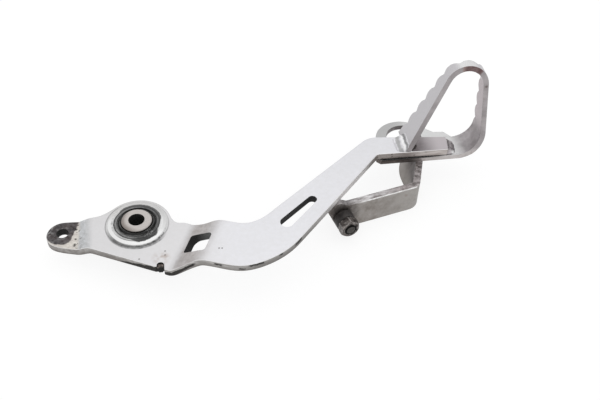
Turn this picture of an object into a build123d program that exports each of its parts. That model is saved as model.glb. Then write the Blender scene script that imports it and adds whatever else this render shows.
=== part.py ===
from build123d import *
import math
import os

os.makedirs("parts", exist_ok=True)

# Pivot sleeve, bushes and seals, all on the Z axis. Z = 0 is the sleeve's inner end.
sleeve_length = 20.0
sleeve_outer_d = 16.0
sleeve_bore_d = 8.5
sleeve_chamfer = 0.6
sleeve_stand_proud = 3.5
bush_wall = 2.0
bush_length = 5.0
bush_running_clearance = 0.03
seal_outer_d = 24.0
seal_thickness = 3.0
seal_running_clearance = 0.06
seal_rim_width = 1.5
seal_groove_width = 0.8
seal_groove_depth = 1.0
seal_lip_height = 0.9
seal_lip_fall = 0.5

# Pivot boss, let into the lever plate.
boss_inner_gap = 1.0
boss_land_above_plate = 1.5
boss_barrel_d = 29.0
boss_collar_d = 33.0
boss_shoulder_d = 30.4
boss_land_d = 27.0
boss_shoulder_height = 1.0
boss_weld_leg = 3.0

# Lever plate: one stamped sheet with two set-offs.
plate_thickness = 4.5
plate_edge_radius = 0.5
lug_drop = 3.0
lug_bend_start_x = -30.5
lug_bend_end_x = -24.5
lug_bend_radius = 6.0
arm_rise = 8.0
arm_bend_angle = 22.5
arm_bend_start = 28.5
arm_bend_end = 42.5
arm_bend_radius = 9.0
set_off_join = 10.0

# Outline of the plate seen from outside, anticlockwise from the lug.
lug_centre = (-38.5, 0.0)
lug_radius = 8.7
lug_hole_centre = (-39.0, 0.8)
lug_hole_d = 6.4
lug_low_angle = 240.0
lug_low_neck = (-26.5, -13.0)
low_edge_start = (-21.5, -15.2)
low_edge_end = (11.0, -31.5)
low_step = (15.0, -33.6)
low_wave_in = (26.0, -34.7)
low_wave_mid = (37.5, -37.4)
low_wave_bottom = (51.5, -41.8)
low_wave_out = (67.5, -38.3)
arm_low_start = (83.8, -26.0)
arm_low_corner = (135.6, 31.2)
arm_tip_x = 178.8
arm_tip_lean = 1.4
arm_tip_low_y = 30.9
arm_tip_high_y = 41.9
arm_top_corner = (133.3, 46.5)
arm_top_start = (74.4, -2.9)
top_wave_out = (65.5, -10.1)
top_wave_bottom = (56.0, -13.1)
top_wave_crest = (44.0, -9.5)
top_wave_waist = (34.5, -7.4)
top_wave_in = (24.5, -1.6)
pivot_pad_radius = 18.0
pivot_pad_start_angle = 16.0
pivot_pad_end_angle = 130.0
lug_top_neck = (-19.0, 8.9)
arm_top_corner_radius = 12.0
arm_low_corner_radius = 2.5
arm_tip_radius = 1.2
notch_centre = (11.4, -29.5)
notch_radius = 1.8
notch_length = 6.0
notch_mouth_radius = 0.6

# Openings in the plate. The slot tapers. The window is square to the sloping set-off, rounder at the back.
slot_rear_centre = (77.5, -15.2)
slot_rear_radius = 3.55
slot_front_centre = (93.2, -0.2)
slot_front_radius = 2.5
window_along_slope = 13.2
window_across = 12.4
window_inset = 3.9
window_offset = -7.8
window_face_radius = 1.5
window_back_radius = 4.0

# Toe piece: one strip bent to a loop, with an eye at its root. Its X sizes run from the arm's tip.
strip_thickness = 3.0
toe_rim_y = 30.6
toe_serrated_y = 46.6
toe_rear_x = -42.8
toe_corner_x = 19.2
toe_corner_radius = 13.5
toe_front_lean_angle = 4.3
toe_back_angle = 65.3
toe_foot_x = -25.0
toe_bend_radius = 11.3
toe_rim_slope = 0.19
toe_corner_cut = 2.2
toe_flare = 2.5
toe_flare_end_x = 2.2
tooth_pitch = 9.45
tooth_depth = 1.9
tooth_start_length = 10.1
tooth_count = 11
eye_centre = (-23.8, 47.7)
eye_radius = 16.0
eye_hole_centre = (-22.8, 49.5)
eye_hole_d = 20.8
eye_tangent_angle = 48.0
eye_ramp_end = (-4.3, 51.9)
eye_ledge_end = (1.7, 51.5)
eye_ledge_foot_x = 5.2

# Stop bracket: a strip on edge under the arm. Its front corner lies behind the arm's tip.
bracket_thickness = 4.0
bracket_width = 17.0
bracket_face_point = (118.5, 1.2)
bracket_angle = 13.8
bracket_rear_length = 19.2
bracket_corner_back_high = 22.6
bracket_corner_back_low = 20.0
bracket_leg_high = 31.0
bracket_leg_low = 38.0
bracket_leg_angle_high = 70.3
bracket_leg_angle_low = 88.0
bracket_knee_high = 23.9
bracket_knee_low = 29.3
bracket_leg_bow_high = 0.4
bracket_leg_bow_low = 3.3
bracket_knee_radius = 30.0
bracket_bend_radius_high = 6.0
bracket_bend_radius_low = 9.0
bracket_tab_length = 9.8
bracket_tab_lead = 5.0
bracket_end_cut = 9.0

# Stop screw, buffer and lock nut, square to the bracket's face.
screw_along = -8.2
screw_height = 9.6
screw_d = 6.0
screw_hole_clearance = 0.05
screw_end_chamfer = 0.8
screw_stand_out = 0.6
screw_head_across = 10.0
screw_head_height = 4.0
buffer_d = 11.0
buffer_length = 5.6
buffer_edge_radius = 0.7
nut_across = 10.0
nut_height = 5.0
nut_countersink_d = 6.8
hex_chamfer = 0.8
hex_turn_angle = 30.0

# Weld beads.
toe_foot_bead_length = 6.0
toe_foot_bead_height = 5.5
toe_foot_bead_inset = 0.6
tip_bead_length = 4.6
tip_bead_drop = 0.5
bracket_bead_leg = 3.0

# Levels along Z that follow from the sizes above.
plate_face_z = sleeve_length - sleeve_stand_proud
plate_back_z = plate_face_z - plate_thickness
lug_face_z = plate_face_z - lug_drop
arm_face_z = plate_face_z + arm_rise
arm_back_z = arm_face_z - plate_thickness
toe_base_z = arm_back_z - strip_thickness
bracket_low_z = toe_base_z - bracket_width
boss_top_z = plate_face_z + boss_land_above_plate
bush_outer_d = sleeve_outer_d + 2 * bush_wall

# Places that follow from the arm's tip.
arm_tip_low = (arm_tip_x - arm_tip_lean, arm_tip_low_y)
arm_tip_high = (arm_tip_x, arm_tip_high_y)
reach = 2 * (arm_tip_x + toe_corner_x)
bracket_room = arm_tip_x - bracket_face_point[0]
bracket_run_high = (bracket_room - bracket_corner_back_high) / math.cos(math.radians(bracket_angle))
bracket_run_low = (bracket_room - bracket_corner_back_low) / math.cos(math.radians(bracket_angle))


def unit(angle):
    """Direction in the XY plane at an angle from +X."""
    return Vector(math.cos(math.radians(angle)), math.sin(math.radians(angle)))


def rod(diameter, low_z, high_z):
    """Plain round bar on the Z axis."""
    return Pos(0, 0, low_z) * extrude(Circle(diameter / 2), high_z - low_z)


def ring(outer_d, inner_d, low_z, high_z):
    """Plain tube on the Z axis."""
    return rod(outer_d, low_z, high_z) - rod(inner_d, low_z, high_z)


def turned(points):
    """Solid turned about the Z axis from (radius, height) points."""
    return revolve(Plane.XZ * make_face(Polyline(*points, close=True)), Axis.Z)


def plate_outline():
    """Flat outline of the lever plate."""
    lug = Vector(*lug_centre)
    lug_low = lug + unit(lug_low_angle) * lug_radius
    lug_end = lug - Vector(lug_radius, 0)
    lug_top = lug + Vector(0, lug_radius)
    pad_start = unit(pivot_pad_start_angle) * pivot_pad_radius
    pad_end = unit(pivot_pad_end_angle) * pivot_pad_radius
    pad_top = unit((pivot_pad_start_angle + pivot_pad_end_angle) / 2) * pivot_pad_radius
    arm_low_way = (Vector(*arm_low_corner) - Vector(*arm_low_start)).normalized()
    arm_top_way = (Vector(*arm_top_start) - Vector(*arm_top_corner)).normalized()
    low_way = (Vector(*low_edge_end) - Vector(*low_edge_start)).normalized()
    step_way = (Vector(*low_step) - Vector(*low_edge_end)).normalized()
    curve = ThreePointArc(lug_top, lug_end, lug_low)
    curve += Spline(lug_low, lug_low_neck, low_edge_start, tangents=(unit(lug_low_angle + 90), low_way))
    curve += Polyline(low_edge_start, low_edge_end, low_step)
    curve += Spline(
        low_step, low_wave_in, low_wave_mid, low_wave_bottom, low_wave_out, arm_low_start,
        tangents=(step_way, arm_low_way),
    )
    curve += Polyline(arm_low_start, arm_low_corner, arm_tip_low, arm_tip_high, arm_top_corner, arm_top_start)
    curve += Spline(
        arm_top_start, top_wave_out, top_wave_bottom, top_wave_crest, top_wave_waist, top_wave_in, pad_start,
        tangents=(arm_top_way, unit(pivot_pad_start_angle + 90)),
    )
    curve += ThreePointArc(pad_start, pad_top, pad_end)
    curve += Spline(pad_end, lug_top_neck, lug_top, tangents=(unit(pivot_pad_end_angle + 90), Vector(-1, 0)))
    notch = Circle(notch_radius) + Pos(0, -notch_length / 2) * Rectangle(2 * notch_radius, notch_length)
    flat = make_face(curve) - Pos(*notch_centre) * notch
    # The two ends of the notch's round top are nearest to its centre, then the two corners of its mouth.
    for vertex in flat.vertices().sort_by_distance(Vector(*notch_centre))[2:4]:
        flat = fillet(flat.vertices().sort_by_distance(vertex)[0], notch_mouth_radius)
    rounding = (
        (arm_low_corner, arm_low_corner_radius),
        (arm_tip_low, arm_tip_radius),
        (arm_tip_high, arm_tip_radius),
        (arm_top_corner, arm_top_corner_radius),
    )
    for corner, radius in rounding:
        vertex = flat.vertices().sort_by_distance(Vector(*corner))[0]
        flat = fillet(vertex, radius)
    return flat


def bent_sheet(points, radius):
    """Cross-section of the sheet along its middle line, in the XZ plane."""
    middle = FilletPolyline(*points, radius=radius)
    return trace(middle, line_width=plate_thickness)


def plate_blank():
    """Stamped sheet with both set-offs and rounded edges, before any hole."""
    half = plate_thickness / 2
    lug_mid = lug_face_z - half
    pivot_mid = plate_face_z - half
    arm_mid = arm_face_z - half
    rear = ((-reach, lug_mid), (lug_bend_start_x, lug_mid), (lug_bend_end_x, pivot_mid), (set_off_join, pivot_mid))
    rear_sheet = extrude(Plane.XZ * bent_sheet(rear, lug_bend_radius), reach / 2, both=True)
    front = ((0, pivot_mid), (arm_bend_start, pivot_mid), (arm_bend_end, arm_mid), (reach, arm_mid))
    front_sheet = extrude(Plane.XZ * bent_sheet(front, arm_bend_radius), reach, both=True)
    sheet = rear_sheet + Rot(0, 0, -arm_bend_angle) * front_sheet
    blank = sheet & extrude(plate_outline(), reach)
    tip = (Vector(*arm_tip_low) + Vector(*arm_tip_high)) * 0.5
    rims = [
        blank.edges().sort_by_distance(Vector(tip.X, tip.Y, level))[0]
        for level in (arm_face_z, arm_back_z)
    ]
    return fillet(rims, plate_edge_radius)


def plate_holes():
    """Everything punched out of the lever plate."""
    slot_ends = Pos(*slot_rear_centre) * Circle(slot_rear_radius)
    slot_ends += Pos(*slot_front_centre) * Circle(slot_front_radius)
    flats = make_hull(slot_ends.edges()) + Circle(boss_barrel_d / 2)
    flats += Pos(*lug_hole_centre) * Circle(lug_hole_d / 2)
    return extrude(flats, reach)


def window_hole():
    """Window punched square to the sloping set-off, with room past its two faces."""
    slope = math.degrees(math.atan2(arm_rise, arm_bend_end - arm_bend_start))
    half = plate_thickness / 2
    slope_start = Pos(arm_bend_start, window_offset, plate_face_z - half)
    on_slope = slope_start * Rot(0, -slope, 0) * Pos(window_inset + window_along_slope / 2, 0)
    face = Pos(0, 0, half) * RectangleRounded(window_along_slope, window_across, window_face_radius)
    back = Pos(0, 0, -half) * RectangleRounded(window_along_slope, window_across, window_back_radius)
    punch = loft([back.faces()[0], face.faces()[0]], ruled=True)
    punch += extrude(face, half)
    punch += extrude(back, -half)
    return Rot(0, 0, -arm_bend_angle) * on_slope * punch


def lever_plate():
    """Stamped lever with all its openings."""
    return plate_blank() - plate_holes() - window_hole()


def pivot_boss():
    """Turned boss: barrel through the plate, chamfered collar outside, seats for bushes and seals."""
    barrel = boss_barrel_d / 2
    collar = boss_collar_d / 2
    shoulder_z = plate_face_z + boss_shoulder_height
    outside = (
        (0, boss_inner_gap),
        (barrel, boss_inner_gap),
        (barrel, plate_face_z),
        (collar, plate_face_z),
        (boss_shoulder_d / 2, shoulder_z),
        (boss_land_d / 2, boss_top_z),
        (0, boss_top_z),
    )
    boss = turned(outside)
    boss -= rod(bush_outer_d, boss_inner_gap, boss_top_z)
    boss -= rod(seal_outer_d, boss_inner_gap, boss_inner_gap + seal_thickness)
    boss -= rod(seal_outer_d, boss_top_z - seal_thickness, boss_top_z)
    return boss


def boss_weld():
    """Fillet weld round the barrel on the inner side of the plate."""
    barrel = boss_barrel_d / 2
    bead = (
        (barrel, plate_back_z - boss_weld_leg),
        (barrel + boss_weld_leg, plate_back_z),
        (barrel, plate_back_z),
    )
    return turned(bead)


def pivot_sleeve():
    """Hard sleeve that the frame bolt clamps."""
    sleeve = ring(sleeve_outer_d, sleeve_bore_d, 0, sleeve_length)
    ends = sleeve.edges().filter_by(GeomType.CIRCLE).sort_by(SortBy.RADIUS)[2:]
    return chamfer(ends, sleeve_chamfer)


def bush(low_z):
    """Plain bearing bush."""
    return ring(bush_outer_d, sleeve_outer_d + 2 * bush_running_clearance, low_z, low_z + bush_length)


def seal():
    """Rubber seal, lip upwards, standing on Z = 0."""
    outer = seal_outer_d / 2
    inner = sleeve_outer_d / 2 + seal_running_clearance
    rim_inner = outer - seal_rim_width
    lip_outer = rim_inner - seal_groove_width
    groove_z = seal_thickness - seal_groove_depth
    lip_z = seal_thickness + seal_lip_height
    section = (
        (inner, 0),
        (outer, 0),
        (outer, seal_thickness),
        (rim_inner, seal_thickness),
        (rim_inner, groove_z),
        (lip_outer, groove_z),
        ((inner + lip_outer) / 2, lip_z),
        (inner, lip_z - seal_lip_fall),
    )
    return turned(section)


def toe_path():
    """Middle line of the bent strip in the XZ plane, from its rear end round to the foot."""
    half = strip_thickness / 2
    base_mid = toe_base_z + half
    lean = math.tan(math.radians(toe_front_lean_angle))
    back = 1 / math.tan(math.radians(toe_back_angle))
    foot_z = arm_face_z - half
    foot_x = toe_foot_x - half * back
    apex_z = (toe_corner_x + lean * base_mid - foot_x + back * foot_z) / (lean + back)
    apex_x = toe_corner_x - lean * (apex_z - base_mid)
    points = ((toe_rear_x, base_mid), (toe_corner_x, base_mid), (apex_x, apex_z), (foot_x, foot_z))
    return FilletPolyline(*points, radius=(toe_corner_radius, toe_bend_radius))


def toe_eye():
    """Flat eye and ledge on the far side of the toe piece's root."""
    centre = Vector(*eye_centre)
    leave = centre + unit(eye_tangent_angle) * eye_radius
    foot = (eye_ledge_foot_x, toe_serrated_y)
    ledge = Polyline(centre, leave, eye_ramp_end, eye_ledge_end, foot, close=True)
    flat = make_face(ledge) + Pos(*eye_centre) * Circle(eye_radius)
    return Pos(0, 0, toe_base_z) * extrude(flat, strip_thickness)


def flare_slope():
    """How fast the serrated rim moves out towards the foot of the back leg."""
    return toe_flare / (toe_flare_end_x - toe_foot_x)


def tooth_gaps(path):
    """Smooth waves across the serrated rim, square to the strip."""
    half = tooth_pitch / 2
    wave = Spline((-half, 0), (0, -tooth_depth), (half, 0), tangents=((1, 0), (1, 0)))
    gap_face = make_face(wave + Polyline((half, 0), (half, tooth_depth), (-half, tooth_depth), (-half, 0)))
    gap = extrude(gap_face, strip_thickness, both=True)
    gaps = []
    for index in range(tooth_count):
        along = path.length - tooth_start_length - index * tooth_pitch
        spot = path.position_at(along, position_mode=PositionMode.LENGTH)
        way = path.tangent_at(along, position_mode=PositionMode.LENGTH)
        flared = flare_slope() if spot.X < toe_flare_end_x else 0
        rim = toe_serrated_y + flared * (toe_flare_end_x - spot.X)
        rim_way = Vector(way.X, -flared * way.X, way.Z)
        across = Vector(-way.Z, 0, way.X)
        gaps.append(Plane(origin=(spot.X, rim, spot.Z), x_dir=rim_way, z_dir=across) * gap)
    return gaps


def toe_flare_wedge(strip):
    """Extra width of the serrated leg, growing towards its foot."""
    rear_x = 2 * toe_foot_x
    rear_y = toe_serrated_y + flare_slope() * (toe_flare_end_x - rear_x)
    corners = ((toe_flare_end_x, toe_serrated_y), (rear_x, rear_y), (rear_x, toe_serrated_y))
    wedge = Pos(0, 0, arm_face_z) * extrude(make_face(Polyline(*corners, close=True)), reach)
    return wedge & Pos(0, reach, 0) * extrude(strip, reach)


def toe_loop():
    """Toe piece: root plate with eye, front leg, top bend and serrated back leg."""
    path = Plane.XZ * toe_path()
    strip = Plane.XZ * trace(toe_path(), line_width=strip_thickness)
    loop = Pos(0, toe_serrated_y, 0) * extrude(strip, toe_serrated_y - toe_rim_y)
    loop += toe_flare_wedge(strip)
    arm_gap = Pos(-reach / 2, 0, (arm_back_z + arm_face_z) / 2)
    loop -= arm_gap * Box(reach, reach, plate_thickness)
    rise = toe_rim_slope * reach
    wedge = ((toe_rim_y, arm_back_z), (toe_rim_y + rise, arm_back_z + reach), (toe_rim_y, arm_back_z + reach))
    loop -= extrude(Plane.YZ * make_face(Polyline(*wedge, close=True)), reach, both=True)
    for gap in tooth_gaps(path):
        loop -= gap
    loop += toe_eye()
    loop -= Pos(*eye_hole_centre, toe_base_z) * extrude(Circle(eye_hole_d / 2), strip_thickness)
    corner = loop.edges().filter_by(Axis.Z).sort_by_distance(Vector(toe_rear_x, toe_rim_y, toe_base_z))[0]
    return chamfer(corner, toe_corner_cut)


def toe_foot_weld():
    """Bead behind the foot of the serrated leg, on the arm's face."""
    back = 1 / math.tan(math.radians(toe_back_angle))
    half = strip_thickness / 2
    heel = toe_foot_x - half / math.sin(math.radians(toe_back_angle))
    section = (
        (heel - toe_foot_bead_length, arm_face_z),
        (heel, arm_face_z),
        (heel + back * toe_foot_bead_height, arm_face_z + toe_foot_bead_height),
    )
    low_y = arm_low_corner[1] + toe_foot_bead_inset
    high_y = toe_serrated_y - tooth_depth - toe_foot_bead_inset
    return Pos(0, high_y, 0) * extrude(Plane.XZ * make_face(Polyline(*section, close=True)), high_y - low_y)


def toe_tip_weld():
    """Bead between the arm's tip and the toe piece's root."""
    low = Vector(*arm_tip_low)
    edge = Vector(*arm_tip_high) - low
    way = edge.normalized()
    start = low + way * arm_tip_radius
    section = (
        (0, arm_back_z),
        (tip_bead_length, arm_back_z),
        (0, arm_face_z - tip_bead_drop),
    )
    plane = Plane(origin=(start.X, start.Y, 0), x_dir=(way.Y, -way.X, 0), z_dir=(-way.X, -way.Y, 0))
    return extrude(plane * make_face(Polyline(*section, close=True)), 2 * arm_tip_radius - edge.length)


def bracket_plane():
    """Plane of the bracket's outer face: X along the strip, Y up, Z out towards the screw's end."""
    way = unit(bracket_angle)
    return Plane(origin=(*bracket_face_point, 0), x_dir=way, z_dir=(way.Y, -way.X, 0))


def leg_section(level, run_length, leg_length, leg_angle, knee_length, leg_bow, bend_radius):
    """Cross-section of the strip's front end at one level, with its bend and bowed leg."""
    half = bracket_thickness / 2
    turn = leg_angle - bracket_angle
    side = unit(turn + 90)
    outer_corner = Vector(run_length, 0)
    corner = outer_corner + Vector(-half * math.tan(math.radians(turn / 2)), half)
    knee = outer_corner + unit(turn) * knee_length + side * (half + leg_bow)
    leg_end = outer_corner + unit(turn) * leg_length + side * half
    radii = (bend_radius - half, bracket_knee_radius)
    middle = FilletPolyline((0, half), corner, knee, leg_end, radius=radii)
    flat = trace(middle, line_width=bracket_thickness)
    way = unit(bracket_angle)
    return Plane(origin=(*bracket_face_point, level), x_dir=way, z_dir=(0, 0, 1)) * flat


def stop_bracket():
    """Strip on edge: tab under the arm, straight run, bend and leaning front leg."""
    low = leg_section(
        bracket_low_z, bracket_run_low, bracket_leg_low, bracket_leg_angle_low,
        bracket_knee_low, bracket_leg_bow_low, bracket_bend_radius_low,
    )
    high = leg_section(
        toe_base_z, bracket_run_high, bracket_leg_high, bracket_leg_angle_high,
        bracket_knee_high, bracket_leg_bow_high, bracket_bend_radius_high,
    )
    front = loft([low.faces()[0], high.faces()[0]], ruled=True)
    rear = -bracket_rear_length
    run = (
        (0, bracket_low_z),
        (0, toe_base_z),
        (-bracket_tab_length + bracket_tab_lead, toe_base_z),
        (-bracket_tab_length, arm_back_z),
        (rear, arm_back_z),
        (rear + bracket_end_cut, bracket_low_z),
    )
    back = extrude(bracket_plane() * make_face(Polyline(*run, close=True)), -bracket_thickness)
    hole_d = screw_d + 2 * screw_hole_clearance
    hole = screw_plane() * extrude(Circle(hole_d / 2), bracket_thickness, both=True)
    return front + back - hole


def screw_plane():
    """Plane on the bracket's face with Z along the stop screw."""
    base = bracket_plane()
    return Plane(origin=base.from_local_coords((screw_along, screw_height, 0)), x_dir=base.x_dir, z_dir=base.z_dir)


def hex_block(across, height):
    """Hexagon block, by its size across flats, with the end corners turned off."""
    hexagon = RegularPolygon(across / 2, 6, major_radius=False, rotation=hex_turn_angle)
    corner = hexagon.radius
    flank = (
        (0, 0),
        (corner - hex_chamfer, 0),
        (corner, hex_chamfer),
        (corner, height - hex_chamfer),
        (corner - hex_chamfer, height),
        (0, height),
    )
    return extrude(hexagon, height) & turned(flank)


def stop_screw():
    """Stop screw with its head under the arm and its end past the lock nut."""
    length = bracket_thickness + buffer_length + nut_height + screw_stand_out
    shank = Pos(0, 0, -bracket_thickness) * extrude(Circle(screw_d / 2), length)
    shank = chamfer(shank.edges().sort_by(Axis.Z)[-1], screw_end_chamfer)
    head = Pos(0, 0, -bracket_thickness - screw_head_height) * hex_block(screw_head_across, screw_head_height)
    return screw_plane() * (shank + head)


def stop_buffer():
    """Round rubber buffer on the stop screw."""
    hole_d = screw_d + 2 * screw_hole_clearance
    body = extrude(Circle(buffer_d / 2) - Circle(hole_d / 2), buffer_length)
    rims = body.edges().filter_by(GeomType.CIRCLE).sort_by(SortBy.RADIUS)[-2:]
    return screw_plane() * fillet(rims, buffer_edge_radius)


def lock_nut():
    """Lock nut over the buffer."""
    hole_d = screw_d + 2 * screw_hole_clearance
    nut = hex_block(nut_across, nut_height) - rod(hole_d, 0, nut_height)
    depth = (nut_countersink_d - hole_d) / 2
    mouth = Pos(0, 0, nut_height - depth / 2) * Cone(hole_d / 2, nut_countersink_d / 2, depth)
    return screw_plane() * Pos(0, 0, buffer_length) * (nut - mouth)


def bracket_rear_weld():
    """Bead along the tab, on the arm's inner side."""
    rear = -bracket_rear_length + bracket_bead_leg
    front = -bracket_tab_length
    section = (
        (-bracket_thickness, arm_back_z),
        (-bracket_thickness - bracket_bead_leg, arm_back_z),
        (-bracket_thickness, arm_back_z - bracket_bead_leg),
    )
    way = unit(bracket_angle)
    start = bracket_plane().from_local_coords((rear, 0, 0))
    plane = Plane(origin=start, x_dir=(way.Y, -way.X, 0), z_dir=(-way.X, -way.Y, 0))
    return extrude(plane * make_face(Polyline(*section, close=True)), rear - front)


def bracket_front_weld():
    """Bead along the leaning leg, under the toe piece's root."""
    leg = unit(bracket_leg_angle_high)
    corner = Vector(*bracket_face_point) + unit(bracket_angle) * bracket_run_high
    end = corner + leg * bracket_leg_high
    section = (
        (-bracket_bead_leg, toe_base_z),
        (bracket_bead_leg, toe_base_z),
        (-bracket_bead_leg, toe_base_z - 2 * bracket_bead_leg),
    )
    length = (end.Y - toe_rim_y) / leg.Y - bracket_bead_leg
    plane = Plane(origin=(end.X, end.Y, 0), x_dir=(leg.Y, -leg.X, 0), z_dir=(-leg.X, -leg.Y, 0))
    bead = extrude(plane * make_face(Polyline(*section, close=True)), length)
    return (bead - stop_bracket()).solids().sort_by(SortBy.VOLUME)[-1]


inner_bush_z = boss_inner_gap + seal_thickness
outer_bush_z = boss_top_z - seal_thickness - bush_length
pieces = {
    "lever_plate": lever_plate(),
    "pivot_boss": pivot_boss(),
    "boss_weld": boss_weld(),
    "pivot_sleeve": pivot_sleeve(),
    "inner_bush": bush(inner_bush_z),
    "outer_bush": bush(outer_bush_z),
    "inner_seal": Pos(0, 0, boss_inner_gap + seal_thickness) * Rot(180, 0, 0) * seal(),
    "outer_seal": Pos(0, 0, boss_top_z - seal_thickness) * seal(),
    "toe_loop": Pos(arm_tip_x, 0, 0) * toe_loop(),
    "toe_foot_weld": Pos(arm_tip_x, 0, 0) * toe_foot_weld(),
    "toe_tip_weld": toe_tip_weld(),
    "stop_bracket": stop_bracket(),
    "bracket_rear_weld": bracket_rear_weld(),
    "bracket_front_weld": bracket_front_weld(),
    "stop_screw": stop_screw(),
    "stop_buffer": stop_buffer(),
    "lock_nut": lock_nut(),
}
for name, piece in pieces.items():
    export_step(piece, f"parts/{name}.step")
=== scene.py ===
import math

import bmesh
import bpy
from mathutils import Matrix, Vector, noise


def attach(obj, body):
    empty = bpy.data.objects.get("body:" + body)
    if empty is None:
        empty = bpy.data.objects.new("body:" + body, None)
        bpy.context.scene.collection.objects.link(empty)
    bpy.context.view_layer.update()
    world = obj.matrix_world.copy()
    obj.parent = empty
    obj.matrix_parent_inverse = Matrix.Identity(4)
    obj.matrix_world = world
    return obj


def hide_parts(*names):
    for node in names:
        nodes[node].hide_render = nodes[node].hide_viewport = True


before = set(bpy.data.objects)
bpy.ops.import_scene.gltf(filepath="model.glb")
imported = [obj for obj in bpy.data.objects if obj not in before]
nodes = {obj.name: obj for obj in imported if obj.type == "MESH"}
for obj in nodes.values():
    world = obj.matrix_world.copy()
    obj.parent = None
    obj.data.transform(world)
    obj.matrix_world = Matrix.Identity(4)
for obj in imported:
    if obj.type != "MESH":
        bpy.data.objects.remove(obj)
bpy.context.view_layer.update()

# Camera, from the photograph's viewing angle.
camera_place = Vector((0.0341, -0.2974, 0.3258))
camera_elevation = 44.94
camera_azimuth = 10.0
camera_roll = 2.34
camera_lens = 48.0

# Faces, joints and the stop's axis, in millimetres and degrees.
plate_face_z = 16.5
plate_back_z = 12.0
lug_face_z = 13.5
arm_face_z = 24.5
arm_back_z = 20.0
toe_base_z = 17.0
boss_radius = 14.5
foot_heel_x = 152.15
foot_lean = 65.3
bracket_angle = 13.8
bracket_turn = math.radians(bracket_angle)
bracket_along = Vector((math.cos(bracket_turn), math.sin(bracket_turn), 0))
bracket_outward = Vector((math.sin(bracket_turn), -math.cos(bracket_turn), 0))
bracket_point = Vector((118.5, 1.2, 0))
bracket_thickness = 4.0
screw_along = -8.2
screw_height = 9.6

# Places on the lever plate that carry marks, in millimetres and degrees.
arm_turn = 22.5
arm_bend_start = 28.5
arm_bend_end = 42.5
lug_bend_start = -30.5
lug_bend_end = -24.5
lug_hole = (-39.0, 0.8, 0)
lug_patch = (-39.4, 0.7, 0)
lug_flecks = ((-32.1, 2.7), (-29.9, 1.4), (-31.9, -4.3), (-32.3, -7.9), (-32.5, -8.7), (-33.3, -11.7))
window_middle = (31.8, -21.6, 0)
window_reach = 9.8
slot_rear = Vector((77.5, -15.2, 0))
slot_rear_radius = 3.55
slot_front = Vector((93.2, -0.2, 0))
slot_front_radius = 2.5
notch_middle = Vector((11.4, -29.5, 0))
stain_middle = (12.0, -25.0, plate_face_z)
plate_pits = ((14.0, -20.6), (13.9, -23.3), (0.9, -24.5))
arm_pits = ((41.3, -29.0), (42.8, -29.2))
foot_gap = ((154.2, 32.4), (155.8, 33.2), (157.4, 34.4), (158.4, 36.0))

# Places on the other pieces that carry marks, in millimetres.
eye_middle = (156.0, 49.5, 0)
eye_reach = 10.9
worn_patch_middle = (186.2, 40.0, 73.4)
rim_dots = ((194.9, 39.0, 61.8), (197.4, 32.0, 23.5), (191.6, 30.6, 16.6))
seal_grease_middle = (9.0, -9.4, 17.8)
stop_dirt_middle = (110.5, -0.4, 10.5)
tip_glint_middle = (181.5, 31.8, 21.5)

# The dark ring round the pivot's collar is a little off centre, and so are the seal's rings.
collar_dark_middle = (0.32, -0.68, 0)
collar_dark_way = (-0.122, -0.993, 0)
seal_ring_middle = (0, 0.7, 0)

# Light and floor, in metres and watts.
lamp_place = Vector((0.2, 0.35, 1.15))
lamp_aim = Vector((0.08, 0.0, 0.0))
lamp_size = 1.2
lamp_power = 1.1
surround_level = 0.8
floor_half = 4.0
floor_grey = 0.22
floor_glow = 0.83


def linear(level):
    """Screen level 0 to 255 as a linear value."""
    share = level / 255
    return share / 12.92 if share <= 0.04045 else ((share + 0.055) / 1.055) ** 2.4


def tone(red, green, blue):
    """Screen colour as a shader colour."""
    return (linear(red), linear(green), linear(blue), 1)


def grey(level, warmth=0):
    """Grey of a screen level, warmer where warmth is above 0."""
    return tone(level + warmth, level, level - warmth)


def at_height(places, z):
    """Level places as points at one height."""
    return [(x, y, z) for x, y in places]


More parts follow.
